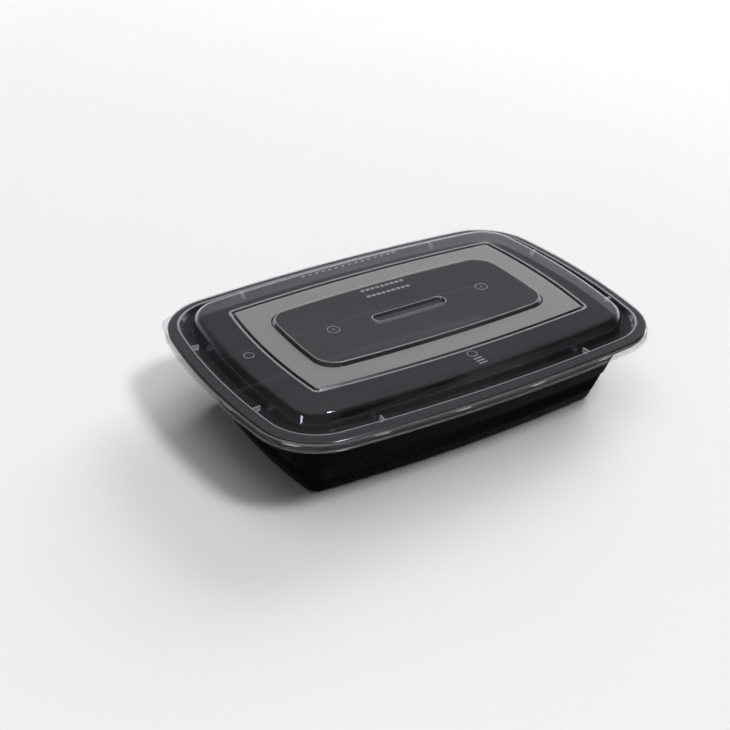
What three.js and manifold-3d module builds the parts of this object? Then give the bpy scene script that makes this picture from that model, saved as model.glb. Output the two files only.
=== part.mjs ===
// A rectangular takeaway meal container: a black moulded tray, shut by a see-through press-on lid.
// Millimetres. +X runs along the container, +Y across it, +Z up, from the middle of the base.
import * as THREE from 'three';
import { mergeVertices } from 'three/addons/utils/BufferGeometryUtils.js';
import Module from 'manifold-3d';

// Outline of the lid's outer edge: four bowed sides that meet in round corners.
const LID_LENGTH = 227;
const LID_WIDTH = 155.6;
const LONG_SIDE_RADIUS = 895;
const SHORT_SIDE_RADIUS = 320;
const EDGE_CORNER_RADIUS = 33;
const SMALLEST_CORNER_RADIUS = 4;

// Tray: a foot, a ribbed band, a smooth wall and a rim whose lip turns down.
const TRAY_WALL = 0.75;
const FOOT_OUTER_INSET = 29.3;
const FOOT_INNER_INSET = 33.4;
const BASE_RISE = 0.8;
const BASE_EDGE_INSET = 25.2;
const BASE_EDGE_HEIGHT = 3;
const WALL_TAPER = 0.36;
const LOWER_LEDGE_HEIGHT = 6.8;
const LOWER_LEDGE_DEPTH = 0.4;
const UPPER_LEDGE_HEIGHT = 18.6;
const UPPER_LEDGE_DEPTH = 0.7;
const WALL_TOP_INSET = 11.4;
const WALL_TOP_HEIGHT = 40.2;
const TRAY_RIM_TOP = 44.9;
const TRAY_RIM_THICKNESS = 0.75;
const TRAY_LIP_INSET = 1.85;
const TRAY_LIP_BOTTOM = 42.6;
const TRAY_RIM_INNER_INSET = 6.8;

// Lid: an outer lip and skirt, a rim with a fine ridge, a channel, and a low dome.
const LID_WALL = 0.5;
const LIP_BOTTOM = 40.8;
const SKIRT_INSET = 1.05;
const LID_RIM_TOP = 45.7;
const RIDGE_INSET = 6.9;
const RIDGE_TOP = 46.05;
const CHANNEL_FLOOR = 43.35;
const CHANNEL_OUTER_INSET = 9.4;
const CHANNEL_INNER_INSET = 12.9;
const DOME_EDGE_INSET = 15.9;
const DOME_TOP = 52.15;
const DOME_CROWN = 0.2;

// Fine groove round the frosted band, and the raised panel inside the band.
const GROOVE_INSET = 33.3;
const GROOVE_HALF_WIDTH = 1;
const GROOVE_DEPTH = 0.75;
const GROOVE_CORNER_RADIUS = 2.6;
const PANEL_INSET = 47.8;
const PANEL_CORNER_RADIUS = 11.7;
const PANEL_EDGE_TOP = 53.75;
const PANEL_CENTRE_TOP = 52.9;

// Slot-shaped recess in the middle of the panel.
const SLOT_LENGTH = 41;
const SLOT_WIDTH = 6.2;
const SLOT_DEPTH = 2.2;

// Small fins that stand in the channel against the ridge, two on each side.
const FIN_THICKNESS = 0.9;
const FIN_OUTER_INSET = 7.5;
const FIN_INNER_INSET = 11.5;
const FIN_TOP = 45.75;
const FIN_ON_LONG_SIDE = 59;
const FIN_ON_SHORT_SIDE = 32;

// Thumb tab: the lip swells out at one corner.
const TAB_REACH = 3.8;
const TAB_CENTRE = new THREE.Vector2(-98.5, 66.5);
const TAB_HALF_WIDTH = 14;

// Straight steps in each quarter of an outline.
const SHORT_SIDE_STEPS = 3;
const CORNER_STEPS = 8;
const LONG_SIDE_STEPS = 4;
const SLOT_END_STEPS = 6;

function arcPoints(centre, radius, from, to, steps) {
  const points = [];
  for (let i = 0; i < steps; i += 1) {
    const angle = from + ((to - from) * i) / steps;
    points.push(new THREE.Vector2(centre.x + radius * Math.cos(angle), centre.y + radius * Math.sin(angle)));
  }
  return points;
}

// One quarter of an outline: half a short side, a corner and half a long side, which touch smoothly.
function quarterOutline(inset, cornerRadius) {
  const halfLength = LID_LENGTH / 2 - inset;
  const halfWidth = LID_WIDTH / 2 - inset;
  const longRadius = LONG_SIDE_RADIUS - inset;
  const shortRadius = SHORT_SIDE_RADIUS - inset;
  const longCentre = new THREE.Vector2(0, halfWidth - longRadius);
  const shortCentre = new THREE.Vector2(halfLength - shortRadius, 0);
  const toLong = longRadius - cornerRadius;
  const toShort = shortRadius - cornerRadius;
  const between = shortCentre.clone().sub(longCentre);
  const distance = between.length();
  const direction = between.divideScalar(distance);
  const along = (toLong ** 2 - toShort ** 2 + distance ** 2) / (2 * distance);
  const across = Math.sqrt(toLong ** 2 - along ** 2);
  const cornerCentre = new THREE.Vector2(
    longCentre.x + direction.x * along + direction.y * across,
    longCentre.y + direction.y * along - direction.x * across,
  );
  const shortEnd = cornerCentre.clone().sub(shortCentre).angle();
  const longStart = cornerCentre.clone().sub(longCentre).angle();
  return [
    ...arcPoints(shortCentre, shortRadius, 0, shortEnd, SHORT_SIDE_STEPS),
    ...arcPoints(cornerCentre, cornerRadius, shortEnd, longStart, CORNER_STEPS),
    ...arcPoints(longCentre, longRadius, longStart, Math.PI / 2, LONG_SIDE_STEPS),
    new THREE.Vector2(0, halfWidth),
  ];
}

function outline(inset, cornerRadius) {
  const quarter = quarterOutline(inset, cornerRadius);
  const forward = quarter.slice(0, -1);
  const backward = quarter.slice(1).reverse();
  return [
    ...forward,
    ...backward.map((p) => new THREE.Vector2(-p.x, p.y)),
    ...forward.map((p) => new THREE.Vector2(-p.x, -p.y)),
    ...backward.map((p) => new THREE.Vector2(p.x, -p.y)),
  ];
}

// A ring is one level outline; rings further in have tighter corners unless told otherwise.
function ring(inset, height, cornerRadius = Math.max(EDGE_CORNER_RADIUS - inset, SMALLEST_CORNER_RADIUS)) {
  return outline(inset, cornerRadius).map((p) => new THREE.Vector3(p.x, p.y, height));
}

// Skins a row of rings into one closed body, with a fan of faces at both ends.
function loft(rings, firstCentreHeight, lastCentreHeight) {
  const count = rings[0].length;
  const positions = rings.flat().flatMap((p) => [p.x, p.y, p.z]);
  const first = rings.length * count;
  positions.push(0, 0, firstCentreHeight, 0, 0, lastCentreHeight);
  const faces = [];
  for (let j = 0; j < count; j += 1) {
    const next = (j + 1) % count;
    faces.push(first, next, j);
    for (let i = 0; i + 1 < rings.length; i += 1) {
      const low = i * count;
      const high = low + count;
      faces.push(low + j, low + next, high + next);
      faces.push(low + j, high + next, high + j);
    }
    const last = (rings.length - 1) * count;
    faces.push(first + 1, last + j, last + next);
  }
  const geometry = new THREE.BufferGeometry();
  geometry.setAttribute('position', new THREE.Float32BufferAttribute(positions, 3));
  geometry.setIndex(faces);
  return geometry;
}

// How far the tapered wall of the tray lies inside the lid's edge at a height.
function wallInset(height) {
  return BASE_EDGE_INSET - (height - BASE_EDGE_HEIGHT) * WALL_TAPER;
}

function trayRings() {
  const ledgeTop = UPPER_LEDGE_HEIGHT + 0.3;
  const ribbedTop = UPPER_LEDGE_HEIGHT - 0.2;
  const ribbedBottom = LOWER_LEDGE_HEIGHT + 0.3;
  const bandTop = LOWER_LEDGE_HEIGHT - 0.1;
  const rimUnder = TRAY_RIM_TOP - TRAY_RIM_THICKNESS;
  const outside = [
    ring(FOOT_INNER_INSET + 1, BASE_RISE),
    ring(FOOT_INNER_INSET, 0),
    ring(FOOT_OUTER_INSET, 0),
    ring(BASE_EDGE_INSET + 2, 0.6),
    ring(BASE_EDGE_INSET + 0.6, 1.6),
    ring(BASE_EDGE_INSET, BASE_EDGE_HEIGHT),
    ring(wallInset(bandTop) + LOWER_LEDGE_DEPTH, bandTop),
    ring(wallInset(ribbedBottom), ribbedBottom),
    ring(wallInset(ribbedTop), ribbedTop),
    ring(wallInset(ledgeTop) - UPPER_LEDGE_DEPTH, ledgeTop),
    ring(WALL_TOP_INSET, WALL_TOP_HEIGHT),
    ring(WALL_TOP_INSET - 1.1, WALL_TOP_HEIGHT + 0.5),
    ring(WALL_TOP_INSET - 2.7, WALL_TOP_HEIGHT + 1.4),
    ring(TRAY_RIM_INNER_INSET + 0.5, WALL_TOP_HEIGHT + 2.5),
    ring(TRAY_RIM_INNER_INSET - 0.5, rimUnder - 0.25),
    ring(TRAY_RIM_INNER_INSET - 1.1, rimUnder),
  ];
  const rim = [
    ring(TRAY_LIP_INSET + 1.2, rimUnder),
    ring(TRAY_LIP_INSET + 0.85, rimUnder - 0.3),
    ring(TRAY_LIP_INSET + 0.75, TRAY_LIP_BOTTOM),
    ring(TRAY_LIP_INSET + 0.1, TRAY_LIP_BOTTOM),
    ring(TRAY_LIP_INSET, TRAY_RIM_TOP - 0.55),
    ring(TRAY_LIP_INSET + 0.25, TRAY_RIM_TOP - 0.12),
    ring(TRAY_LIP_INSET + 0.8, TRAY_RIM_TOP),
    ring(TRAY_RIM_INNER_INSET, TRAY_RIM_TOP),
    ring(TRAY_RIM_INNER_INSET + 0.25, TRAY_RIM_TOP - 0.1),
  ];
  const inside = [
    ring(TRAY_RIM_INNER_INSET + 1.15, WALL_TOP_HEIGHT + 2.95),
    ring(TRAY_RIM_INNER_INSET + 1.9, WALL_TOP_HEIGHT + 2.25),
    ring(TRAY_RIM_INNER_INSET + 2.9, WALL_TOP_HEIGHT + 1.6),
    ring(WALL_TOP_INSET - 0.1, WALL_TOP_HEIGHT + 0.9),
    ring(WALL_TOP_INSET + TRAY_WALL, WALL_TOP_HEIGHT - 0.1),
    ring(wallInset(ledgeTop) - UPPER_LEDGE_DEPTH + TRAY_WALL, ledgeTop - 0.1),
    ring(wallInset(ribbedTop) + TRAY_WALL, ribbedTop - 0.1),
    ring(wallInset(ribbedBottom) + TRAY_WALL, ribbedBottom),
    ring(BASE_EDGE_INSET + TRAY_WALL + 0.1, BASE_EDGE_HEIGHT + 0.3),
    ring(BASE_EDGE_INSET + 1.9, 1.8),
    ring(FOOT_OUTER_INSET + 0.3, TRAY_WALL),
    ring(FOOT_INNER_INSET - 0.6, TRAY_WALL),
    ring(FOOT_INNER_INSET + 0.4, BASE_RISE + TRAY_WALL),
  ];
  return [...outside, ...rim, ...inside];
}

// The thumb tab pushes the lip's points outwards near one corner.
function withTab(points) {
  return points.map((p) => {
    const flat = new THREE.Vector2(p.x, p.y);
    const share = Math.min(flat.distanceTo(TAB_CENTRE) / TAB_HALF_WIDTH, 1);
    const push = TAB_REACH * Math.cos((share * Math.PI) / 2) ** 2;
    const out = flat.clone().normalize().multiplyScalar(push);
    return new THREE.Vector3(p.x + out.x, p.y + out.y, p.z);
  });
}

function panelRing(inset, height) {
  return ring(inset, height, Math.max(PANEL_CORNER_RADIUS + PANEL_INSET - inset, SMALLEST_CORNER_RADIUS));
}

function grooveRing(inset, height) {
  return ring(inset, height, GROOVE_CORNER_RADIUS + GROOVE_INSET - inset);
}

// Height of the sagging panel: its edge stands up and its middle lies lower.
function panelHeight(inset) {
  const share = (LID_WIDTH / 2 - inset) / (LID_WIDTH / 2 - PANEL_INSET);
  return PANEL_CENTRE_TOP + (PANEL_EDGE_TOP - PANEL_CENTRE_TOP) * share ** 2;
}

function lidRings() {
  const crown = DOME_TOP + DOME_CROWN;
  const grooveOuter = GROOVE_INSET - GROOVE_HALF_WIDTH;
  const grooveInner = GROOVE_INSET + GROOVE_HALF_WIDTH;
  const panelInsets = [PANEL_INSET + 2.4, PANEL_INSET + 9, PANEL_INSET + 19];
  const underside = [
    ...panelInsets.toReversed().map((inset) => panelRing(inset, panelHeight(inset) - LID_WALL)),
    panelRing(PANEL_INSET + 1.1, PANEL_EDGE_TOP - 0.55),
    panelRing(PANEL_INSET + 0.6, PANEL_EDGE_TOP - 0.8),
    panelRing(PANEL_INSET, crown - LID_WALL),
    grooveRing(grooveInner + 0.25, crown - LID_WALL),
    grooveRing(GROOVE_INSET, crown - GROOVE_DEPTH - LID_WALL),
    grooveRing(grooveOuter - 0.25, crown - LID_WALL),
    ring(DOME_EDGE_INSET + 3, DOME_TOP - LID_WALL),
    ring(DOME_EDGE_INSET + 1.6, DOME_TOP - 0.75),
    ring(DOME_EDGE_INSET + 0.45, DOME_TOP - 1.5),
    ring(DOME_EDGE_INSET - 0.3, DOME_TOP - 2.9),
    ring(CHANNEL_INNER_INSET + 1.25, CHANNEL_FLOOR + 0.35),
    ring(CHANNEL_INNER_INSET + 0.2, CHANNEL_FLOOR - LID_WALL),
    ring(CHANNEL_OUTER_INSET - 0.5, CHANNEL_FLOOR - LID_WALL),
    ring(RIDGE_INSET + 1.35, CHANNEL_FLOOR),
    ring(RIDGE_INSET + 0.3, LID_RIM_TOP - LID_WALL),
    ring(SKIRT_INSET + 1.3, LID_RIM_TOP - LID_WALL),
    ring(SKIRT_INSET + 0.7, LID_RIM_TOP - 0.75),
    ring(SKIRT_INSET + LID_WALL, LID_RIM_TOP - 1.3),
    ring(SKIRT_INSET + 0.3, LIP_BOTTOM + 0.7),
    withTab(ring(0.6, LIP_BOTTOM)),
  ];
  const outside = [
    withTab(ring(0, LIP_BOTTOM)),
    withTab(ring(0, LIP_BOTTOM + 0.5)),
    ring(SKIRT_INSET - 0.2, LIP_BOTTOM + 0.85),
    ring(SKIRT_INSET, LID_RIM_TOP - 1.3),
    ring(SKIRT_INSET + 0.3, LID_RIM_TOP - 0.5),
    ring(SKIRT_INSET + 1.05, LID_RIM_TOP),
    ring(RIDGE_INSET - 0.7, LID_RIM_TOP + 0.05),
    ring(RIDGE_INSET, RIDGE_TOP),
    ring(RIDGE_INSET + 0.6, RIDGE_TOP - 0.35),
    ring(RIDGE_INSET + 1.8, CHANNEL_FLOOR + 0.25),
    ring(CHANNEL_OUTER_INSET, CHANNEL_FLOOR),
    ring(CHANNEL_INNER_INSET, CHANNEL_FLOOR),
    ring(CHANNEL_INNER_INSET + 0.7, CHANNEL_FLOOR + 0.45),
    ring(DOME_EDGE_INSET - 0.8, DOME_TOP - 2.75),
    ring(DOME_EDGE_INSET, DOME_TOP - 1.15),
    ring(DOME_EDGE_INSET + 1.3, DOME_TOP - 0.25),
    ring(DOME_EDGE_INSET + 2.9, DOME_TOP),
    grooveRing(grooveOuter, crown),
    grooveRing(GROOVE_INSET, crown - GROOVE_DEPTH),
    grooveRing(grooveInner, crown),
    panelRing(PANEL_INSET - 0.6, crown + 0.05),
    panelRing(PANEL_INSET, PANEL_EDGE_TOP - 0.25),
    panelRing(PANEL_INSET + 0.8, PANEL_EDGE_TOP),
    ...panelInsets.map((inset) => panelRing(inset, panelHeight(inset))),
  ];
  return [...underside, ...outside];
}

function stadium(length, width, bottom, top) {
  const reach = (length - width) / 2;
  const shape = new THREE.Shape();
  shape.absarc(reach, 0, width / 2, -Math.PI / 2, Math.PI / 2, false);
  shape.absarc(-reach, 0, width / 2, Math.PI / 2, (3 * Math.PI) / 2, false);
  shape.closePath();
  const settings = { depth: top - bottom, bevelEnabled: false, curveSegments: SLOT_END_STEPS };
  return new THREE.ExtrudeGeometry(shape, settings).translate(0, 0, bottom);
}

// A fin at a place along a bowed side, turned to stand square to the side there.
function fin(sideRadius, halfSpan, place, turn) {
  const foot = CHANNEL_FLOOR - LID_WALL / 2;
  const section = [
    [FIN_OUTER_INSET, FIN_TOP - 0.3],
    [CHANNEL_OUTER_INSET - 0.5, foot],
    [FIN_INNER_INSET - 0.4, foot],
    [FIN_INNER_INSET, FIN_TOP],
    [FIN_OUTER_INSET + 0.1, FIN_TOP],
  ];
  const shape = new THREE.Shape(section.map(([inset, height]) => new THREE.Vector2(sideRadius - inset, height)));
  const geometry = new THREE.ExtrudeGeometry(shape, { depth: FIN_THICKNESS, bevelEnabled: false });
  geometry.rotateX(Math.PI / 2);
  geometry.rotateZ(Math.PI / 2);
  geometry.translate(-FIN_THICKNESS / 2, 0, 0);
  geometry.rotateZ(-Math.asin(place / sideRadius));
  geometry.translate(0, halfSpan - sideRadius, 0);
  return geometry.rotateZ(turn);
}

function allFins() {
  const fins = [];
  for (const sign of [-1, 1]) {
    for (const turn of [0, Math.PI]) {
      fins.push(fin(LONG_SIDE_RADIUS, LID_WIDTH / 2, sign * FIN_ON_LONG_SIDE, turn));
      fins.push(fin(SHORT_SIDE_RADIUS, LID_LENGTH / 2, sign * FIN_ON_SHORT_SIDE, turn + Math.PI / 2));
    }
  }
  return fins;
}

const wasm = await Module();
wasm.setup();

function toSolid(geometry) {
  const bare = geometry.clone();
  bare.deleteAttribute('normal');
  bare.deleteAttribute('uv');
  const merged = mergeVertices(bare, 1e-5);
  return new wasm.Manifold(new wasm.Mesh({
    numProp: 3,
    vertProperties: new Float32Array(merged.attributes.position.array),
    triVerts: new Uint32Array(merged.index.array),
  }));
}

function toGeometry(solid) {
  const mesh = solid.getMesh();
  const geometry = new THREE.BufferGeometry();
  geometry.setAttribute('position', new THREE.Float32BufferAttribute(mesh.vertProperties, 3));
  geometry.setIndex(new THREE.Uint32BufferAttribute(mesh.triVerts, 1));
  geometry.computeVertexNormals();
  return geometry;
}

function buildTray() {
  const geometry = loft(trayRings(), BASE_RISE, BASE_RISE + TRAY_WALL);
  geometry.computeVertexNormals();
  const material = new THREE.MeshStandardMaterial({ color: 0x0d0d0e, roughness: 0.42, metalness: 0 });
  const tray = new THREE.Mesh(geometry, material);
  tray.name = 'tray';
  return tray;
}

function buildLid() {
  const slotFloor = PANEL_CENTRE_TOP - SLOT_DEPTH;
  const cup = stadium(
    SLOT_LENGTH + 2 * LID_WALL,
    SLOT_WIDTH + 2 * LID_WALL,
    slotFloor - LID_WALL,
    PANEL_CENTRE_TOP - LID_WALL / 2,
  );
  const hollow = stadium(SLOT_LENGTH, SLOT_WIDTH, slotFloor, PANEL_EDGE_TOP + 1);
  let solid = toSolid(loft(lidRings(), PANEL_CENTRE_TOP - LID_WALL, PANEL_CENTRE_TOP));
  solid = solid.add(toSolid(cup)).subtract(toSolid(hollow));
  for (const geometry of allFins()) {
    solid = solid.add(toSolid(geometry));
  }
  const material = new THREE.MeshStandardMaterial({
    color: 0xd9dbdd,
    roughness: 0.25,
    metalness: 0,
    transparent: true,
    opacity: 0.35,
  });
  const lid = new THREE.Mesh(toGeometry(solid), material);
  lid.name = 'lid';
  return lid;
}

const container = new THREE.Group();
container.add(buildTray());
container.add(buildLid());

export default container;
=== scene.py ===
# Looks of the takeaway meal container: a black ribbed tray shut by a see-through lid.
# Lengths are in millimetres and turned into metres where a mesh is made.
import math

import bmesh
import bpy
import numpy as np
from mathutils import Matrix, Vector


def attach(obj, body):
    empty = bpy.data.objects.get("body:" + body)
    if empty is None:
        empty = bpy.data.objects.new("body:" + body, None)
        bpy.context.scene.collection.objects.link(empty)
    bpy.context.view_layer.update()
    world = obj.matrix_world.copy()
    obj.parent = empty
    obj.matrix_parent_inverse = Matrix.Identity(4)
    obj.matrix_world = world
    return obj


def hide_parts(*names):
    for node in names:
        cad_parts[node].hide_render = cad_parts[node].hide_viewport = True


MM = 0.001

# Outline of the lid's outer edge: four bowed sides that meet in round corners.
LID_LENGTH = 227
LID_WIDTH = 155.6
LONG_SIDE_RADIUS = 895
SHORT_SIDE_RADIUS = 320
EDGE_CORNER_RADIUS = 33
SMALLEST_CORNER_RADIUS = 4

# Tray: a foot, a ribbed band, a smooth wall and a rim whose lip turns down.
TRAY_WALL = 0.75
FOOT_INNER_INSET = 33.4
BASE_RISE = 0.8
BASE_MIDDLE_INSET = LID_WIDTH / 2 - 2
BASE_EDGE_INSET = 25.2
BASE_EDGE_HEIGHT = 3
BASE_EDGE_FILLET = 4.3
WALL_TAPER = 0.36
LOWER_LEDGE_HEIGHT = 6.8
LOWER_LEDGE_DEPTH = 0.4
UPPER_LEDGE_HEIGHT = 18.6
UPPER_LEDGE_DEPTH = 0.7
WALL_TOP_INSET = 11.4
WALL_TOP_HEIGHT = 40.2
TRAY_RIM_TOP = 44.9
TRAY_LIP_INSET = 1.85
TRAY_LIP_BOTTOM = 42.6
TRAY_RIM_INNER_INSET = 6.8

# Fine upright ribs round the lower wall.
RIB_COUNT = 400
POINTS_PER_RIB = 4
RIB_DEPTH = 0.32
RIB_FADE = 0.5
RIB_ROWS = 5
RIB_MARGIN = 0.2

# Lid: an outer lip and skirt, a rim with a fine ridge, a channel, and a low dome.
LID_WALL = 0.5
LIP_BOTTOM = 40.8
SKIRT_INSET = 1.05
LID_RIM_TOP = 45.7
RIDGE_INSET = 7.05
RIDGE_TOP = 46.05
RIDGE_LINE = 0.55
CHANNEL_FLOOR = 43.35
CHANNEL_OUTER_INSET = 8.7
CHANNEL_INNER_INSET = 13.67
DOME_EDGE_INSET = 16.03
DOME_EDGE_FILLET = 3.4
DOME_TOP = 51.75
DOME_CROWN = 0.2
GROOVE_INSET = 33.35
GROOVE_HALF_WIDTH = 1.0
GROOVE_DEPTH = 0.9
GROOVE_LINE_INSET = 31.85
FROSTED_END_INSET = 46.4
GROOVE_LINE_RISE = 0.2
GROOVE_CORNER_RADIUS = 2.6
PANEL_INSET = 47.8
PANEL_CORNER_RADIUS = 11.7
PANEL_EDGE_TOP = 53.74
PANEL_SAG = 0.85
PANEL_BLEND_INSET = 56

# Where the lid's finishes end, as distances past the lid's main insets and heights.
LIP_END_RISE = 0.3
SKIRT_FINISH_WIDTH = 0.6
LIP_FINISH_WIDTH = 1.6
CHANNEL_FINISH_RISE = 0.6
WALL_FINISH_REACH = 3
WALL_FINISH_DROP = 0.7
LINE_HALF_WIDTH = 0.5

# Slot-shaped recess in the middle of the panel.
SLOT_LENGTH = 41
SLOT_WIDTH = 6.2
SLOT_DEPTH = 2.2
SLOT_INSET = (LID_WIDTH - SLOT_WIDTH) / 2

# Small fins that stand in the channel against the ridge, two on each side.
FIN_THICKNESS = 0.9
FIN_OUTER_INSET = 7.5
FIN_INNER_INSET = 11.5
FIN_TOP = 45.75
FIN_ON_LONG_SIDE = 59
FIN_ON_SHORT_SIDE = 32

# Beads in the skirt that hold the lid on the tray's lip.
BEAD_LENGTH = 9
BEAD_RADIUS = 0.45
BEAD_INSET = 1.12
BEAD_HEIGHT = 43.5
BEAD_COUNT = 16
BEAD_END_SHARE = 0.02

# Thumb tab: the lip swells out at one corner.
TAB_REACH = 3.8
TAB_CENTRE = np.array([-98.5, 66.5])
TAB_HALF_WIDTH = 14
TAB_ROOT_INSET = 0.95
TAB_RISE = 0.75

# Plain moulded marks on the panel: a ring round a pip at each end, and rows of longer pips.
MARK_RADIUS = 0.2
RING_MARK_PLACE = 43.8
RING_MARK_RADIUS = 3.1
PIP_RADIUS = 0.55
PIP_RISE = 0.25
ROW_COUNT = 2
ROW_SPACING = 6
PIPS_IN_ROW = 9
FIRST_PIP_PLACE = (-11.5, 19.5)
PIP_SPACING = 2.9
LONG_PIP_RADIUS = 0.95
LONG_PIP_LENGTH = 0.7

# Plain moulded marks on the dome: two small rings, some bars and a row of dashes.
DOME_MARK_HEIGHT = DOME_TOP + 0.1
SMALL_RING_RADIUS = 2.4
SIDE_RING_PLACE = (2, -50)
END_RING_PLACE = (-89, 1)
END_RING_SINK = 0.02
BAR_COUNT = 3
FIRST_BAR_PLACE = (2, -54.5)
BAR_SPACING = 2.2
BAR_RADIUS = 0.4
BAR_LENGTH = 4
DASH_COUNT = 15
FIRST_DASH_PLACE = (-28, 56.8)
DASH_SPACING = 4
DASH_SINK = 0.05
DASH_RADIUS = 0.45
DASH_LENGTH = 1.2

# Fineness of the meshes. The first three are for a quarter of an outline.
SHORT_SIDE_STEPS = 16
CORNER_STEPS = 40
LONG_SIDE_STEPS = 24
FILLET_STEP = math.radians(14)
SMALLEST_FILLET = 0.02
FILLET_SHARE_OF_SIDE = 0.48
SHARPEST_SHIFT = 0.7
LONGEST_LID_STEP = 2.2
LONGEST_TRAY_STEP = 8
BEAD_OUTLINE_POINTS = 4000
BEAD_RINGS = 15
BEAD_SIDES = 10
RING_MARK_STEPS = 40
RING_MARK_SIDES = 8
PIP_SIDES = 16
PIP_RINGS = (-0.8, -0.3, 0.35, 0.75, 0.95)

# Shading: edges sharper than the angle stay sharp, and surfaces this near in metres coincide.
SHARP_ANGLE = math.radians(40)
SAME_SURFACE = 0.00001

# Black plastic of the tray, in two shades.
TRAY_DARK = (0.0022, 0.0022, 0.0024, 1)
TRAY_PALE = (0.0034, 0.0034, 0.0036, 1)

# The lid's finishes, in the order of its materials.
# The edge and bead finishes add painted highlights, and the channel finish a painted shade.
CLEAR, FROSTED, EDGE_HIGHLIGHT, SKIRT, WALL, LIP, CHANNEL_SHADE, BEAD_HIGHLIGHT, SLOT = range(9)

# Clear plastic of the lid, and how much more the panel scatters than the rest of the sheet.
PLASTIC_IOR = 1.5
PANEL_HAZE = 0.026
CLEAR_TINT = (0.9, 0.905, 0.915, 1)
HAZE_TINT = (0.8, 0.8, 0.82, 1)
GLOSS_TINT = (0.87, 0.86, 1, 1)
FROSTED_TINT = (0.815, 0.805, 0.815, 1)
FROSTED_GLOSS_TINT = (0.93, 0.92, 0.94, 1)
# The channel's gloss is dimmed, a painted shade in the channel.
CHANNEL_SHADED_GLOSS_TINT = (0.36, 0.36, 0.4, 1)
NO_TINT = (1, 1, 1, 1)

# Camera, and two level directions that go with its view.
CAMERA_LENS = 66.333
CAMERA_SENSOR = 36
CAMERA_NEAR = 0.02
CAMERA_FAR = 60
CAMERA_PITCH = math.radians(31.351)
CAMERA_AZIMUTH = math.radians(-32.809)
CAMERA_ROLL = math.radians(1.369)
CAMERA_DISTANCE = 692.4
CAMERA_RIGHT = -20.92
CAMERA_UP = 17.01
AWAY_FROM_CAMERA = (0.542, 0.8405, 0)
ACROSS_VIEW = (0.8405, -0.542, 0)

# Floor, with painted shade that makes it a little darker on the left of the view than on the right.
# Its painted shade changes within a distance in metres on each side of the middle.
FLOOR_REACH = 6000
FLOOR_BLEND = 0.3
FLOOR_SHADED_LEFT = (0.755, 0.75, 0.755, 1)
FLOOR_LIT_RIGHT = (0.89, 0.89, 0.89, 1)

# Room light: dark in front, a bright low backdrop behind, a paler ceiling, a doorway in
# front at the right, and a weak light from below on that side.
ROOM_FRONT = 0.04
ROOM_BACK = 0.245
BACKDROP = 1.35
OVERHEAD = 0.45
FRONT_RIGHT = 0.25
FROM_BELOW = 0.15
ROOM_DARK = (0, 0, 0, 1)
ROOM_PALE = (1.01, 1, 0.975, 1)

# Lamps, in metres and watts. Each direction points from the object to the lamp.
KEY_DIRECTION = (0.198, -0.469, 0.861)
KEY_DISTANCE = 5.0
KEY_SIZE = (0.95, 0.95)
KEY_POWER = 102
KEY_COLOUR = (0.99, 1, 1.03)
FILL_DIRECTION = (0.75, 0.45, 0.48)
FILL_DISTANCE = 2.5
FILL_SIZE = (1.6, 1.6)
FILL_POWER = 112
FILL_COLOUR = (1, 0.98, 0.95)
CEILING_DIRECTION = (0, 0, 1)
CEILING_DISTANCE = 2.5
CEILING_SIZE = (2.2, 2.2)
CEILING_POWER = 16
CEILING_COLOUR = (1, 0.99, 0.97)
WINDOW_DIRECTION = (-0.93, -0.37, 0.02)
WINDOW_DISTANCE = 2.0
WINDOW_SIZE = (0.2, 0.9)
WINDOW_POWER = 5
WINDOW_COLOUR = (0.85, 0.95, 1)

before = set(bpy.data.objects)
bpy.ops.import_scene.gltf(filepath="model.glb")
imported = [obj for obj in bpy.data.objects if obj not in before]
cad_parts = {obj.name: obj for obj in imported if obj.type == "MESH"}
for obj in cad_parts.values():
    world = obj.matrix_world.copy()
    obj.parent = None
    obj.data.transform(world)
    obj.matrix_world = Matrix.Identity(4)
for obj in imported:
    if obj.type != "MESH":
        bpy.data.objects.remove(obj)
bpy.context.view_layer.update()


# Outlines

def angle_of(vector):
    return math.atan2(vector[1], vector[0])


def arc_points(centre, radius, start, end, steps):
    angles = start + (end - start) * np.arange(steps) / steps
    return centre + radius * np.column_stack([np.cos(angles), np.sin(angles)])


def quarter_outline(inset, corner_radius):
    """Half a short side, a corner and half a long side, which touch smoothly."""
    half_length = LID_LENGTH / 2 - inset
    half_width = LID_WIDTH / 2 - inset
    long_radius = LONG_SIDE_RADIUS - inset
    short_radius = SHORT_SIDE_RADIUS - inset
    long_centre = np.array([0, half_width - long_radius])
    short_centre = np.array([half_length - short_radius, 0])
    to_long = long_radius - corner_radius
    to_short = short_radius - corner_radius
    between = short_centre - long_centre
    distance = np.linalg.norm(between)
    direction = between / distance
    square = np.array([direction[1], -direction[0]])
    along = (to_long**2 - to_short**2 + distance**2) / (2 * distance)
    across = math.sqrt(to_long**2 - along**2)
    corner_centre = long_centre + direction * along + square * across
    short_end = angle_of(corner_centre - short_centre)
    long_start = angle_of(corner_centre - long_centre)
    return np.vstack([
        arc_points(short_centre, short_radius, 0, short_end, SHORT_SIDE_STEPS),
        arc_points(corner_centre, corner_radius, short_end, long_start, CORNER_STEPS),
        arc_points(long_centre, long_radius, long_start, math.pi / 2, LONG_SIDE_STEPS),
        [[0, half_width]],
    ])


def four_quarters(quarter):
    forward = quarter[:-1]
    backward = quarter[:0:-1]
    return np.vstack([forward, backward * [-1, 1], forward * [-1, -1], backward * [1, -1]])


def natural_corner(inset):
    return max(EDGE_CORNER_RADIUS - inset, SMALLEST_CORNER_RADIUS)


def measured(points):
    """A closed outline with its first point repeated, and how far along it each point lies."""
    closed = np.vstack([points, points[:1]])
    lengths = np.linalg.norm(np.diff(closed, axis=0), axis=1)
    return closed, np.concatenate([[0], np.cumsum(lengths)])


def places_along(closed, travelled, wanted):
    """The places at the wanted distances along a measured outline."""
    return np.column_stack([np.interp(wanted, travelled, closed[:, k]) for k in (0, 1)])


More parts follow.
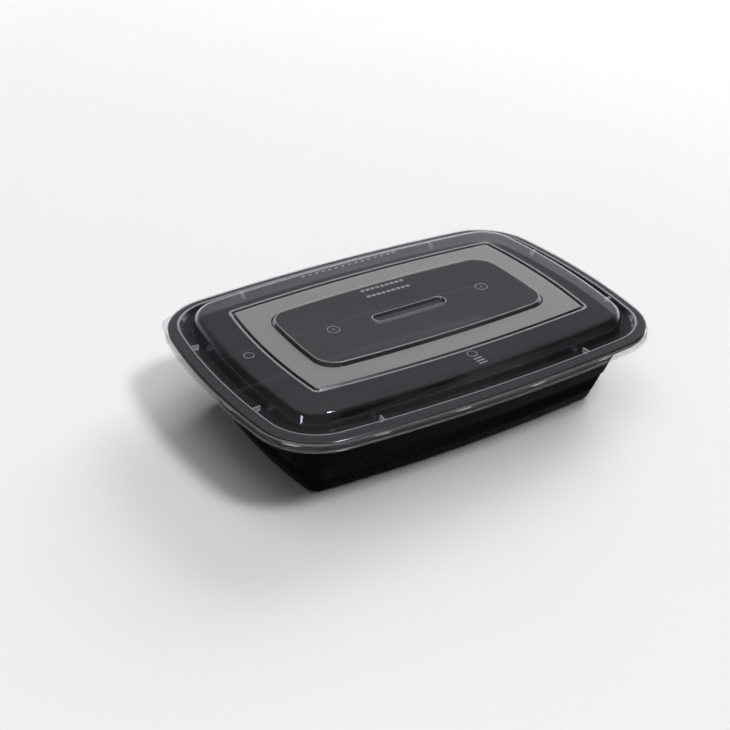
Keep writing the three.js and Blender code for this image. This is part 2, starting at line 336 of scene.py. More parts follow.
def resampled(points, count):
    """The same closed outline with points at even distances along it."""
    closed, travelled = measured(points)
    wanted = travelled[-1] * np.arange(count) / count
    return places_along(closed, travelled, wanted)


def outward(points):
    """Level unit vectors that point out of a closed outline at each of its points."""
    along = np.roll(points, -1, axis=0) - np.roll(points, 1, axis=0)
    square = np.column_stack([along[:, 1], -along[:, 0]])
    return square / np.linalg.norm(square, axis=1)[:, None]


# Sections: lines of (inset, height) points

def rounded(section):
    """Turns (inset, height, fillet radius) corners into a line with round corners."""
    points = [np.array(section[0][:2], float)]
    for before, corner, after in zip(section, section[1:], section[2:]):
        place = np.array(corner[:2], float)
        back = np.array(before[:2]) - place
        ahead = np.array(after[:2]) - place
        back_length = np.linalg.norm(back)
        ahead_length = np.linalg.norm(ahead)
        back = back / back_length
        ahead = ahead / ahead_length
        half_angle = math.acos(max(-1, min(1, back @ ahead))) / 2
        room = FILLET_SHARE_OF_SIDE * min(back_length, ahead_length)
        reach = min(corner[2] / math.tan(half_angle), room)
        radius = reach * math.tan(half_angle)
        if radius < SMALLEST_FILLET:
            points.append(place)
            continue
        bisector = (back + ahead) / np.linalg.norm(back + ahead)
        centre = place + bisector * radius / math.sin(half_angle)
        start = angle_of(place + back * reach - centre)
        turn = (angle_of(place + ahead * reach - centre) - start + math.pi) % math.tau - math.pi
        steps = max(2, math.ceil(abs(turn) / FILLET_STEP))
        angles = start + turn * np.linspace(0, 1, steps + 1)
        points.extend(centre + radius * np.column_stack([np.cos(angles), np.sin(angles)]))
    points.append(np.array(section[-1][:2], float))
    return np.array(points)


def divided(points, longest):
    """Adds points on stretches longer than the longest step."""
    result = [points[0]]
    for start, end in zip(points, points[1:]):
        pieces = max(1, math.ceil(np.linalg.norm(end - start) / longest))
        for k in range(1, pieces + 1):
            result.append(start + (end - start) * k / pieces)
    return np.array(result)


def shifted(points, distance):
    """The line moved sideways, to its left, by a distance."""
    steps = np.diff(points, axis=0)
    steps = steps / np.linalg.norm(steps, axis=1)[:, None]
    before = np.vstack([steps[:1], steps])
    after = np.vstack([steps, steps[-1:]])
    middle = before + after
    middle = middle / np.linalg.norm(middle, axis=1)[:, None]
    stretch = 1 / np.maximum((middle * before).sum(axis=1), SHARPEST_SHIFT)
    left = np.column_stack([-middle[:, 1], middle[:, 0]])
    return points + left * (stretch * distance)[:, None]


# Meshes

class Shell:
    """Rings of points and the faces between them, which make one closed body."""

    def __init__(self, points):
        self.points = []
        self.faces = []
        self.materials = []
        self.first_ring = self.add_points(points)
        self.last_ring = self.first_ring

    def add_points(self, points):
        first = len(self.points)
        self.points.extend(points)
        return np.arange(first, first + len(points))

    def add_face(self, face, material=0):
        self.faces.append(tuple(int(k) for k in face))
        self.materials.append(material)

    def add_ring(self, points, material=0):
        ring = self.add_points(points)
        self.bridge(self.last_ring, ring, material)
        self.last_ring = ring

    def bridge(self, low, high, material):
        """Joins two rings; one may have a whole number of times as many points as the other."""
        low_share = max(1, len(low) // len(high))
        high_share = max(1, len(high) // len(low))
        for j in range(min(len(low), len(high))):
            lows = [low[(j * low_share + k) % len(low)] for k in range(low_share + 1)]
            highs = [high[(j * high_share + k) % len(high)] for k in range(high_share + 1)]
            if low_share == high_share:
                self.add_face((lows[0], lows[1], highs[1], highs[0]), material)
            elif high_share > 1:
                for k in range(high_share):
                    self.add_face((lows[0], highs[k + 1], highs[k]), material)
                self.add_face((lows[0], lows[1], highs[-1]), material)
            else:
                for k in range(low_share):
                    self.add_face((lows[k], lows[k + 1], highs[0]), material)
                self.add_face((lows[-1], highs[-1], highs[0]), material)

    def close(self, centre, at_start):
        """Fills the first or the last ring with a fan of faces round a centre."""
        middle = self.add_points([centre])[0]
        ring = self.first_ring if at_start else self.last_ring
        for k, point in enumerate(ring):
            following = ring[(k + 1) % len(ring)]
            self.add_face((middle, following, point) if at_start else (middle, point, following))


def make_object(name, points, faces, materials=None):
    mesh = bpy.data.meshes.new(name)
    mesh.from_pydata((np.asarray(points, float) * MM).tolist(), [], faces)
    if materials is not None:
        mesh.polygons.foreach_set("material_index", np.array(materials, np.int32))
    mesh.update()
    piece = bpy.data.objects.new(name, mesh)
    bpy.context.scene.collection.objects.link(piece)
    return piece


def smooth(piece):
    """Smooth shading, apart from sharp edges."""
    piece.data.polygons.foreach_set("use_smooth", [True] * len(piece.data.polygons))
    piece.data.set_sharp_from_angle(angle=SHARP_ANGLE)


def apply_modifiers(piece):
    graph = bpy.context.evaluated_depsgraph_get()
    graph.update()
    result = bpy.data.meshes.new_from_object(piece.evaluated_get(graph))
    piece.modifiers.clear()
    piece.data = result


def fuse(piece, details):
    """Joins small solids onto a piece by one Boolean union, then removes them."""
    modifier = piece.modifiers.new("details", "BOOLEAN")
    modifier.operation = "UNION"
    modifier.solver = "EXACT"
    modifier.object = details
    apply_modifiers(piece)
    bpy.data.objects.remove(details)


def at_height(points, heights):
    return np.column_stack([points, np.broadcast_to(heights, len(points))])


# Tray

def wall_inset(height):
    return BASE_EDGE_INSET - (height - BASE_EDGE_HEIGHT) * WALL_TAPER


def tray_outline(inset, count=RIB_COUNT):
    fine = four_quarters(quarter_outline(inset, natural_corner(inset)))
    return resampled(fine, count)


def ribbed_ring(height, depth):
    """A fine ring whose points step in and out, four to each rib."""
    level = tray_outline(wall_inset(height), RIB_COUNT * POINTS_PER_RIB)
    phase = np.arange(len(level)) % POINTS_PER_RIB
    sunk = depth * (0.5 - 0.5 * np.cos(math.tau * phase / POINTS_PER_RIB))
    return at_height(level - outward(level) * sunk[:, None], height)


def tray_sections():
    """The section below the ribbed band and the rest of it, over the rim to the inside."""
    ribbed_bottom = LOWER_LEDGE_HEIGHT + 0.3
    ribbed_top = UPPER_LEDGE_HEIGHT - 0.2
    band_top = LOWER_LEDGE_HEIGHT - 0.1
    ledge_top = UPPER_LEDGE_HEIGHT + 0.3
    upper_inset = wall_inset(ledge_top) - UPPER_LEDGE_DEPTH
    rim_under = TRAY_RIM_TOP - TRAY_WALL
    lower = [
        (BASE_MIDDLE_INSET, BASE_RISE, 0),
        (FOOT_INNER_INSET + 1.2, BASE_RISE, 0.5),
        (FOOT_INNER_INSET, 0, 0.5),
        (wall_inset(0), 0, BASE_EDGE_FILLET),
        (wall_inset(band_top) + LOWER_LEDGE_DEPTH, band_top, 0.15),
        (wall_inset(ribbed_bottom), ribbed_bottom, 0),
    ]
    upper = [
        (wall_inset(ribbed_top), ribbed_top, 0),
        (upper_inset, ledge_top, 0.25),
        (WALL_TOP_INSET, WALL_TOP_HEIGHT, 1.6),
        (TRAY_RIM_INNER_INSET - 0.4, rim_under, 1.4),
        (TRAY_LIP_INSET + TRAY_WALL, rim_under, 0.3),
        (TRAY_LIP_INSET + TRAY_WALL, TRAY_LIP_BOTTOM, 0.2),
        (TRAY_LIP_INSET + 0.05, TRAY_LIP_BOTTOM, 0.2),
        (TRAY_LIP_INSET, TRAY_RIM_TOP, 0.7),
        (TRAY_RIM_INNER_INSET + 0.15, TRAY_RIM_TOP, 0.5),
        (TRAY_RIM_INNER_INSET + 1.3, TRAY_RIM_TOP - 1.95, 0.9),
        (WALL_TOP_INSET + 0.2, WALL_TOP_HEIGHT + 0.8, 1),
        (upper_inset + TRAY_WALL, ledge_top - 0.1, 0.2),
        (wall_inset(ribbed_top) + TRAY_WALL, ribbed_top - 0.1, 0.2),
        (wall_inset(ribbed_bottom) + TRAY_WALL, ribbed_bottom, 0.3),
        (wall_inset(0) + TRAY_WALL + 0.1, TRAY_WALL, BASE_EDGE_FILLET - TRAY_WALL),
        (FOOT_INNER_INSET - 0.6, TRAY_WALL, 0.5),
        (FOOT_INNER_INSET + 0.6, BASE_RISE + TRAY_WALL, 0.5),
        (BASE_MIDDLE_INSET, BASE_RISE + TRAY_WALL, 0),
    ]
    return [divided(rounded(section), LONGEST_TRAY_STEP) for section in (lower, upper)]


def build_tray():
    lower, upper = tray_sections()
    bottom = lower[-1][1] + RIB_MARGIN
    top = upper[0][1] - RIB_MARGIN
    shell = Shell(at_height(tray_outline(lower[0][0]), lower[0][1]))
    for inset, height in lower[1:]:
        shell.add_ring(at_height(tray_outline(inset), height))
    shell.add_ring(ribbed_ring(bottom, 0))
    for height in np.linspace(bottom + RIB_FADE, top - RIB_FADE, RIB_ROWS):
        shell.add_ring(ribbed_ring(height, RIB_DEPTH))
    shell.add_ring(ribbed_ring(top, 0))
    for inset, height in upper:
        shell.add_ring(at_height(tray_outline(inset), height))
    shell.close((0, 0, BASE_RISE), True)
    shell.close((0, 0, BASE_RISE + TRAY_WALL), False)
    tray = make_object("tray_piece", shell.points, shell.faces)
    smooth(tray)
    return tray


# Lid

# Insets of the lid's outline and its corner radii there, with even changes in between.
LID_CORNERS = np.array([
    (0, EDGE_CORNER_RADIUS),
    (EDGE_CORNER_RADIUS - SMALLEST_CORNER_RADIUS, SMALLEST_CORNER_RADIUS),
    (GROOVE_INSET - 1, GROOVE_CORNER_RADIUS + 1),
    (GROOVE_INSET + 1, GROOVE_CORNER_RADIUS - 1),
    (PANEL_INSET - 0.6, PANEL_CORNER_RADIUS + 0.6),
    (PANEL_INSET, PANEL_CORNER_RADIUS),
    (PANEL_INSET + PANEL_CORNER_RADIUS - SMALLEST_CORNER_RADIUS, SMALLEST_CORNER_RADIUS),
])


def slot_outline(shrink):
    """A quarter of the slot's outline, as many points as a quarter of the lid's."""
    reach = (SLOT_LENGTH - SLOT_WIDTH) / 2
    half_width = SLOT_WIDTH / 2 - shrink
    end_steps = SHORT_SIDE_STEPS + CORNER_STEPS
    straight = np.linspace(reach, 0, LONG_SIDE_STEPS + 1)
    return four_quarters(np.vstack([
        arc_points(np.array([reach, 0]), half_width, 0, math.pi / 2, end_steps),
        np.column_stack([straight, np.full(len(straight), half_width)]),
    ]))


def lid_outline(inset):
    """The lid's outline at an inset, which turns into the slot's outline over the panel."""
    if inset <= PANEL_BLEND_INSET:
        corner = np.interp(inset, LID_CORNERS[:, 0], LID_CORNERS[:, 1])
        return four_quarters(quarter_outline(inset, corner))
    share = min((inset - PANEL_BLEND_INSET) / (SLOT_INSET - PANEL_BLEND_INSET), 1)
    panel = four_quarters(quarter_outline(PANEL_BLEND_INSET, SMALLEST_CORNER_RADIUS))
    return panel * (1 - share) + slot_outline(max(inset - SLOT_INSET, 0)) * share


def panel_drop(points):
    """How far the sagging panel lies below its edge."""
    along = 1 - np.clip(points[:, 0] / (LID_LENGTH / 2 - PANEL_INSET), -1, 1) ** 2
    across = 1 - np.clip(points[:, 1] / (LID_WIDTH / 2 - PANEL_INSET), -1, 1) ** 2
    return PANEL_SAG * along * across


def with_tab(points, inset):
    """Pushes the lip outwards near the tab, most of all at its edge."""
    share = np.minimum(np.linalg.norm(points - TAB_CENTRE, axis=1) / TAB_HALF_WIDTH, 1)
    root = min(max((TAB_ROOT_INSET - inset) / TAB_ROOT_INSET, 0), 1)
    push = TAB_REACH * root * np.cos(share * math.pi / 2) ** 2
    return points + points / np.linalg.norm(points, axis=1)[:, None] * push[:, None]


def lid_section():
    """The middle line of the lid's sheet, from its lip to the middle of the slot."""
    half = LID_WALL / 2
    rim = LID_RIM_TOP - half
    floor = CHANNEL_FLOOR - half
    crown = DOME_TOP + DOME_CROWN - half
    panel = PANEL_EDGE_TOP - half
    slot_inset = SLOT_INSET - half
    return divided(rounded([
        (half, LIP_BOTTOM + half, 0),
        (SKIRT_INSET + 0.05, LIP_BOTTOM + half + 0.1, 0.35),
        (SKIRT_INSET + half, rim, 1.15),
        (RIDGE_INSET - 0.8, rim + 0.03, 0.4),
        (RIDGE_INSET, RIDGE_TOP - half + 0.13, 0.35),
        (CHANNEL_OUTER_INSET, floor, 0.7),
        (CHANNEL_INNER_INSET, floor, 0.7),
        (DOME_EDGE_INSET, crown - DOME_CROWN, DOME_EDGE_FILLET),
        (GROOVE_LINE_INSET - 0.45, crown, 0.3),
        (GROOVE_LINE_INSET, crown + GROOVE_LINE_RISE, 0.5),
        (GROOVE_INSET - GROOVE_HALF_WIDTH, crown, 0.2),
        (GROOVE_INSET, crown - GROOVE_DEPTH, 0.4),
        (GROOVE_INSET + GROOVE_HALF_WIDTH, crown, 0.3),
        (FROSTED_END_INSET, crown, 0),
        (PANEL_INSET - 0.7, crown, 0.3),
        (PANEL_INSET + 0.29, panel, 0.45),
        (slot_inset - 0.15, panel, 0.45),
        (slot_inset + 0.15, panel - SLOT_DEPTH, 0.35),
        (LID_WIDTH / 2 - 0.6, panel - SLOT_DEPTH, 0),
    ]), LONGEST_LID_STEP)


def lid_ring(inset, height):
    level = lid_outline(max(inset, 0))
    lowered = height - panel_drop(level) if inset > PANEL_INSET else height
    if height < LIP_BOTTOM + TAB_RISE and inset < TAB_ROOT_INSET:
        level = with_tab(level, inset)
    return at_height(level, lowered)


def finish_at(inset, height, outside):
    """Which finish a strip of the lid has, by the place of its middle."""
    # The lip's lower edge takes the hazy edge finish, a painted highlight line.
    if height < LIP_BOTTOM + LIP_END_RISE and inset < SKIRT_INSET:
        return EDGE_HIGHLIGHT
    if not outside:
        on_wall = DOME_EDGE_INSET - WALL_FINISH_REACH < inset < DOME_EDGE_INSET + 0.6
        return WALL if on_wall and height < DOME_TOP - WALL_FINISH_DROP else CLEAR
    if GROOVE_INSET + GROOVE_HALF_WIDTH < inset < FROSTED_END_INSET:
        return FROSTED
    if height < TRAY_RIM_TOP and inset < SKIRT_INSET + SKIRT_FINISH_WIDTH:
        return SKIRT
    in_groove = abs(inset - GROOVE_INSET) < GROOVE_HALF_WIDTH
    if in_groove or inset < SKIRT_INSET + LIP_FINISH_WIDTH:
        return LIP
    # The channel's floor takes the dimmed gloss of painted shade.
    in_channel = CHANNEL_OUTER_INSET - 0.7 < inset < CHANNEL_INNER_INSET + 0.3
    if in_channel and height < CHANNEL_FLOOR + CHANNEL_FINISH_RISE:
        return CHANNEL_SHADE
    below_panel = height < PANEL_EDGE_TOP - LINE_HALF_WIDTH
    if below_panel and inset > SLOT_INSET - LINE_HALF_WIDTH:
        return SLOT
    # The ridge, the groove line and the edges of the panel and slot take the edge finish's painted
    # highlight lines.
    on_ridge = abs(inset - RIDGE_INSET) < RIDGE_LINE and height > LID_RIM_TOP + 0.1
    on_groove_line = abs(inset - GROOVE_LINE_INSET) < LINE_HALF_WIDTH
    near_panel_edge = PANEL_INSET - 0.1 < inset < PANEL_INSET + 0.9
    on_panel_edge = near_panel_edge and height > PANEL_EDGE_TOP - 0.45
    on_slot_edge = abs(inset - SLOT_INSET) < LINE_HALF_WIDTH and not below_panel
    return EDGE_HIGHLIGHT if on_ridge or on_groove_line or on_panel_edge or on_slot_edge else CLEAR


def build_lid_shell():
    """The sheet with its underside, lip end and top, all in one closed body."""
    middle = lid_section()
    over = shifted(middle, LID_WALL / 2)
    under = shifted(middle, -LID_WALL / 2)
    turns = angle_of(middle[0] - middle[1]) + np.radians([-60, -30, 0, 30, 60])
    end = middle[0] + LID_WALL / 2 * np.column_stack([np.cos(turns), np.sin(turns)])
    end = end[np.argsort(end[:, 1])]
    path = np.vstack([under[::-1], end, over])
    first_over = len(under) + len(end)
    shell = Shell(lid_ring(*path[0]))
    for index in range(1, len(path)):
        inset, height = (path[index] + path[index - 1]) / 2
        shell.add_ring(lid_ring(*path[index]), finish_at(inset, height, index > first_over))
    slot_floor = PANEL_EDGE_TOP - PANEL_SAG - SLOT_DEPTH
    shell.close((0, 0, slot_floor - LID_WALL), True)
    shell.close((0, 0, slot_floor), False)
    return make_object("lid_piece", shell.points, shell.faces, shell.materials)


# Small solids on the lid: each is made as its points and its faces

def round_faces(rows, sides, closed=False):
    """The faces of a body made of rings, with its two ends unless it is closed to a loop."""
    faces = []
    for row in range(rows if closed else rows - 1):
        following = (row + 1) % rows
        for k in range(sides):
            beside = (k + 1) % sides
            near = (row * sides + k, row * sides + beside)
            far = (following * sides + beside, following * sides + k)
            faces.append(near + far)
    if not closed:
        faces.append(tuple(range(sides))[::-1])
        faces.append(tuple((rows - 1) * sides + k for k in range(sides)))
    return faces


def tube(line, radii, sides, closed=False):
    """A round body along a level line, closed to a loop or with two ends."""
    along = np.gradient(line[:, :2], axis=0)
    if closed:
        along = np.roll(line[:, :2], -1, axis=0) - np.roll(line[:, :2], 1, axis=0)
    square = np.column_stack([along[:, 1], -along[:, 0]])
    square = square / np.linalg.norm(square, axis=1)[:, None]
    points = []
    for place, side, radius in zip(line, square, radii):
        for angle in math.tau * np.arange(sides) / sides:
            out = side * radius * math.cos(angle)
            rise = radius * math.sin(angle)
            points.append((place[0] + out[0], place[1] + out[1], place[2] + rise))
    return points, round_faces(len(line), sides, closed)


def beads():
    """Evenly spaced beads in the skirt, which follow the lid's outline."""
    level = four_quarters(quarter_outline(BEAD_INSET, EDGE_CORNER_RADIUS - BEAD_INSET))
    spacing = np.linalg.norm(level - np.roll(level, 1, axis=0), axis=1).sum() / BEAD_COUNT
    closed, travelled = measured(resampled(level, BEAD_OUTLINE_POINTS))
    shares = np.linspace(-1, 1, BEAD_RINGS)
    radii = BEAD_RADIUS * np.sqrt(np.maximum(1 - shares**4, BEAD_END_SHARE))
    parts = []
    for k in range(BEAD_COUNT):
        wanted = (spacing * (k + 0.5) + shares * BEAD_LENGTH / 2) % travelled[-1]
        line = places_along(closed, travelled, wanted)
        parts.append(tube(at_height(line, BEAD_HEIGHT), radii, BEAD_SIDES))
    return parts


def ring_mark(x, y, height, radius):
    angles = math.tau * np.arange(RING_MARK_STEPS) / RING_MARK_STEPS
    circle = np.column_stack([x + radius * np.cos(angles), y + radius * np.sin(angles)])
    radii = np.full(RING_MARK_STEPS, MARK_RADIUS)
    return tube(at_height(circle, height), radii, RING_MARK_SIDES, closed=True)


def pip(x, y, height, radius=PIP_RADIUS, length=0.0):
    """A low round pip, drawn out along X when it has a length."""
    points = []
    for ring in PIP_RINGS:
        spread_out = radius * math.sqrt(1 - ring**2)
        for k in range(PIP_SIDES):
            angle = math.tau * (k + 0.5) / PIP_SIDES
            reach = length / 2 if math.cos(angle) > 0 else -length / 2
            along = x + reach + spread_out * math.cos(angle)
            across = y + spread_out * math.sin(angle)
            points.append((along, across, height + PIP_RISE * ring))
    return points, round_faces(len(PIP_RINGS), PIP_SIDES)


def fin(side_radius, half_span, place, turn):
    """A fin at a place along a bowed side, square to the side there."""
    foot = CHANNEL_FLOOR - LID_WALL / 2
    section = [
        (FIN_OUTER_INSET, FIN_TOP - 0.3),
        (CHANNEL_OUTER_INSET + 0.2, foot),
        (FIN_INNER_INSET - 0.4, foot),
        (FIN_INNER_INSET, FIN_TOP),
        (FIN_OUTER_INSET + 0.1, FIN_TOP),
    ]
    lean = Matrix.Rotation(-math.asin(place / side_radius), 2)
    around = Matrix.Rotation(turn, 2)
    points = []
    for side in (-FIN_THICKNESS / 2, FIN_THICKNESS / 2):
        for inset, height in section:
            level = lean @ Vector((side, side_radius - inset))
            level = around @ (level + Vector((0, half_span - side_radius)))
            points.append((level.x, level.y, height))
    count = len(section)
    faces = [tuple(range(count)), tuple(range(count, 2 * count))[::-1]]
    for k in range(count):
        following = (k + 1) % count
        faces.append((k, k + count, following + count, following))
    return points, faces


def panel_top(x, y):
    return PANEL_EDGE_TOP - float(panel_drop(np.array([[x, y]]))[0])


def fins():
    """Two fins on each of the four sides."""
    parts = []
    for sign in (-1, 1):
        for turn in (0, math.pi):
            place = sign * FIN_ON_LONG_SIDE
            parts.append(fin(LONG_SIDE_RADIUS, LID_WIDTH / 2, place, turn))
            place = sign * FIN_ON_SHORT_SIDE
            parts.append(fin(SHORT_SIDE_RADIUS, LID_LENGTH / 2, place, turn + math.pi / 2))
    return parts


def panel_marks():
    """A ring round a pip at each end of the panel, and the rows of longer pips."""
    parts = []
    for x in (-RING_MARK_PLACE, RING_MARK_PLACE):
        parts.append(ring_mark(x, 0, panel_top(x, 0), RING_MARK_RADIUS))
        parts.append(pip(x, 0, panel_top(x, 0)))
    for row in range(ROW_COUNT):
        for k in range(PIPS_IN_ROW):
            x = FIRST_PIP_PLACE[0] + PIP_SPACING * k
            y = FIRST_PIP_PLACE[1] + ROW_SPACING * row
            parts.append(pip(x, y, panel_top(x, y), LONG_PIP_RADIUS, LONG_PIP_LENGTH))
    return parts


def dome_marks():
    """Two small rings, the bars beside one of them, and the row of dashes."""
    parts = [
        ring_mark(*END_RING_PLACE, DOME_MARK_HEIGHT - END_RING_SINK, SMALL_RING_RADIUS),
        ring_mark(*SIDE_RING_PLACE, DOME_MARK_HEIGHT, SMALL_RING_RADIUS),
    ]
    x, y = FIRST_BAR_PLACE
    for k in range(BAR_COUNT):
        parts.append(pip(x, y - BAR_SPACING * k, DOME_MARK_HEIGHT, BAR_RADIUS, BAR_LENGTH))
    x, y = FIRST_DASH_PLACE
    dash_height = DOME_MARK_HEIGHT - DASH_SINK
    for k in range(DASH_COUNT):
        parts.append(pip(x + DASH_SPACING * k, y, dash_height, DASH_RADIUS, DASH_LENGTH))
    return parts


def all_details():
    """Every small solid on the lid, in one mesh."""
    # Fins and marks take the edge finish with its painted highlights, and beads their painted
    # highlight dashes.
    groups = ((fins(), EDGE_HIGHLIGHT), (beads(), BEAD_HIGHLIGHT), (panel_marks(), EDGE_HIGHLIGHT), (dome_marks(), EDGE_HIGHLIGHT))
    points = []
    faces = []
    finishes = []
    for parts, finish in groups:
        for part_points, part_faces in parts:
            first = len(points)
            points.extend(part_points)
            faces.extend(tuple(first + k for k in face) for face in part_faces)
            finishes.extend([finish] * len(part_faces))
    return make_object("lid_details", points, faces, finishes)


def recalculate(piece):
    """Points every face of a closed mesh outwards."""
    mesh = bmesh.new()
    mesh.from_mesh(piece.data)
    bmesh.ops.recalc_face_normals(mesh, faces=mesh.faces)
    mesh.to_mesh(piece.data)
    mesh.free()


def copy_shading(source, piece):
    """Gives a piece the source's surface directions wherever the two surfaces coincide."""
    modifier = piece.modifiers.new("shading", "DATA_TRANSFER")
    modifier.object = source
    modifier.use_loop_data = True
    modifier.data_types_loops = {"CUSTOM_NORMAL"}
    modifier.loop_mapping = "POLYINTERP_NEAREST"
    modifier.use_max_distance = True
    modifier.max_distance = SAME_SURFACE
    apply_modifiers(piece)


def build_lid():
    """The lid's sheet with the small solids fused on, shaded as smoothly as the bare sheet."""
    lid = build_lid_shell()
    for material in lid_materials():
        lid.data.materials.append(material)
    bare = lid.copy()
    bare.data = lid.data.copy()
    bpy.context.scene.collection.objects.link(bare)
    smooth(bare)
    details = all_details()
    for material in lid.data.materials:
        details.data.materials.append(material)
    recalculate(details)
    fuse(lid, details)
    smooth(lid)
    copy_shading(bare, lid)
    bpy.data.objects.remove(bare)
    return lid


# Materials

def start_material(name):
    material = bpy.data.materials.new(name)
    material.use_nodes = True
    material.node_tree.nodes.clear()
    return material


def node(tree, kind, settings=None, **inputs):
    """Adds a node. An input, by name or as in0, in1 and so on, is a value or another output."""
    made = tree.nodes.new(kind)
    for key, value in (settings or {}).items():
        setattr(made, key, value)
    for key, value in inputs.items():
        by_place = key.startswith("in") and key[2:].isdigit()
        socket = made.inputs[int(key[2:]) if by_place else key]
        if isinstance(value, bpy.types.NodeSocket):
            tree.links.new(value, socket)
        else:
            socket.default_value = value
    return made


def calculate(tree, operation, *values):
    """The result of a calculation with values or other nodes' outputs."""
    inputs = {f"in{place}": value for place, value in enumerate(values)}
    return node(tree, "ShaderNodeMath", {"operation": operation}, **inputs).outputs[0]


def two_colours(tree, share, first, second, clamp=True):
    """A colour between two others, or past them when the share isn't clamped."""
    settings = {"data_type": "RGBA", "clamp_factor": clamp}
    return node(tree, "ShaderNodeMix", settings, Factor=share, A=first, B=second).outputs["Result"]


def mixed(tree, share, first, second):
    """A mix of two shader nodes."""
    return node(
        tree, "ShaderNodeMixShader", in0=share, in1=first.outputs[0], in2=second.outputs[0],
    )


def noise(tree, scale, detail=2.0, stretch=(1, 1, 1)):
    place = node(tree, "ShaderNodeTexCoord").outputs["Object"]
    mapped = node(tree, "ShaderNodeMapping", Vector=place, Scale=stretch).outputs["Vector"]
    made = node(tree, "ShaderNodeTexNoise", Vector=mapped, Scale=scale, Detail=detail)
    return made.outputs["Fac"]


def spread(tree, value, low, high, from_low=0.3, from_high=0.7):
    made = node(tree, "ShaderNodeMapRange", in0=value, in1=from_low, in2=from_high, in3=low, in4=high)
    return made.outputs["Result"]


def eased(tree, value, low, high, from_low, from_high):
    """Like spread, but it starts and ends gently."""
    made = node(tree, "ShaderNodeMapRange", {"interpolation_type": "SMOOTHSTEP"}, in0=value)
    for index, setting in enumerate((from_low, from_high, low, high), 1):
        made.inputs[index].default_value = setting
    return made.outputs["Result"]


def distance_along(tree, coordinates, direction):
    """How far a place lies along a direction, in one of the texture coordinates."""
    place = node(tree, "ShaderNodeTexCoord").outputs[coordinates]
    settings = {"operation": "DOT_PRODUCT"}
    return node(tree, "ShaderNodeVectorMath", settings, in0=place, in1=direction).outputs["Value"]


def bump(tree, height, strength, distance):
    made = node(tree, "ShaderNodeBump", Height=height, Strength=strength, Distance=distance)
    return made.outputs["Normal"]


def tray_material():
    """Black plastic, a little uneven in shade and gloss, with a fine grain."""
    material = start_material("tray_black")
    tree = material.node_tree
    shader = node(tree, "ShaderNodeBsdfPrincipled", **{
        "Base Color": two_colours(tree, spread(tree, noise(tree, 60), 0, 1), TRAY_DARK, TRAY_PALE),
        "Specular IOR Level": 0.2,
        "Roughness": spread(tree, noise(tree, 350, 4), 0.4, 0.55),
        "Normal": bump(tree, noise(tree, 2600, 3), 0.25, 0.00008),
    })
    node(tree, "ShaderNodeOutputMaterial", Surface=shader.outputs[0])
    return material


def scratches(tree):
    """Thin curved lines where a slow noise crosses its middle value, in patches."""
    offset = calculate(tree, "SUBTRACT", noise(tree, 110, 1, (1, 0.6, 1)), 0.5)
    thin = spread(tree, calculate(tree, "ABSOLUTE", offset), 1, 0, 0, 0.008)
    patches = spread(tree, noise(tree, 40, 2), 0, 1, 0.6, 0.66)
    return calculate(tree, "MULTIPLY", thin, patches)


def see_through(tree, haze, roughness, normal, glow, tint=HAZE_TINT, gloss_tint=GLOSS_TINT):
    """A sheet that lets light through, scatters some as haze and reflects more at a slant.

    Glow is the share of the haze that light from behind the sheet makes. The sheet is a
    closed body, so all of this is on its outward faces, and those seen from within do
    nothing.
    """
    clear = node(tree, "ShaderNodeBsdfTransparent", Color=CLEAR_TINT)
    lit_from_here = node(tree, "ShaderNodeBsdfDiffuse", Color=tint)
    lit_from_behind = node(tree, "ShaderNodeBsdfTranslucent", Color=tint)
    body = mixed(tree, haze, clear, mixed(tree, glow, lit_from_here, lit_from_behind))
    gloss = node(
        tree, "ShaderNodeBsdfAnisotropic", Color=gloss_tint, Roughness=roughness, Normal=normal,
    )
    one_face = node(tree, "ShaderNodeFresnel", IOR=PLASTIC_IOR, Normal=normal).outputs[0]
    doubled = calculate(tree, "MULTIPLY", one_face, 2.0)
    raised = calculate(tree, "ADD", one_face, 1.0)
    both_faces = calculate(tree, "DIVIDE", doubled, raised)
    front = mixed(tree, both_faces, body, gloss)
    plain = node(tree, "ShaderNodeBsdfTransparent", Color=NO_TINT)
    seen_from_within = node(tree, "ShaderNodeNewGeometry").outputs["Backfacing"]
    whole = mixed(tree, seen_from_within, front, plain)
    node(tree, "ShaderNodeOutputMaterial", Surface=whole.outputs[0])


def lid_clear_material():
    """Nearly clear plastic with faint clouds and scratches, hazier on the raised panel."""
    material = start_material("lid_clear")
    tree = material.node_tree
    place = node(tree, "ShaderNodeTexCoord").outputs["Object"]
    height = node(tree, "ShaderNodeSeparateXYZ", Vector=place).outputs["Z"]
    on_panel = spread(tree, height, 0, PANEL_HAZE, (DOME_TOP + 0.5) * MM, (DOME_TOP + 0.8) * MM)
    clouds = spread(tree, noise(tree, 30, 3, (1, 2, 1)), 0.008, 0.016)
    even = calculate(tree, "ADD", on_panel, clouds)
    haze = calculate(tree, "MULTIPLY_ADD", scratches(tree), 0.08, even)
    roughness = spread(tree, noise(tree, 60, 2), 0.03, 0.055)
    normal = bump(tree, noise(tree, 45, 1), 0.06, 0.0003)
    see_through(tree, haze, roughness, normal, 0.5)
    return material


def lid_frosted_material():
    """Finely etched plastic of the band round the panel."""
    material = start_material("lid_frosted")
    tree = material.node_tree
    haze = spread(tree, noise(tree, 2600, 2), 0.215, 0.245)
    roughness = spread(tree, noise(tree, 300, 2), 0.38, 0.46)
    normal = bump(tree, noise(tree, 5200, 1), 0.12, 0.00006)
    see_through(tree, haze, roughness, normal, 0.3, FROSTED_TINT, FROSTED_GLOSS_TINT)
    return material


def lid_edge_highlight_material():
    """Rounded edges and small marks: thicker plastic there gathers some light, and extra haze paints
    highlight lines.
    """
    material = start_material("lid_edge_highlight")
    tree = material.node_tree
    haze = spread(tree, noise(tree, 200, 2), 0.27, 0.34)
    roughness = spread(tree, noise(tree, 150, 2), 0.3, 0.4)
    normal = bump(tree, noise(tree, 900, 1), 0.08, 0.00006)
    see_through(tree, haze, roughness, normal, 0.4)
    return material


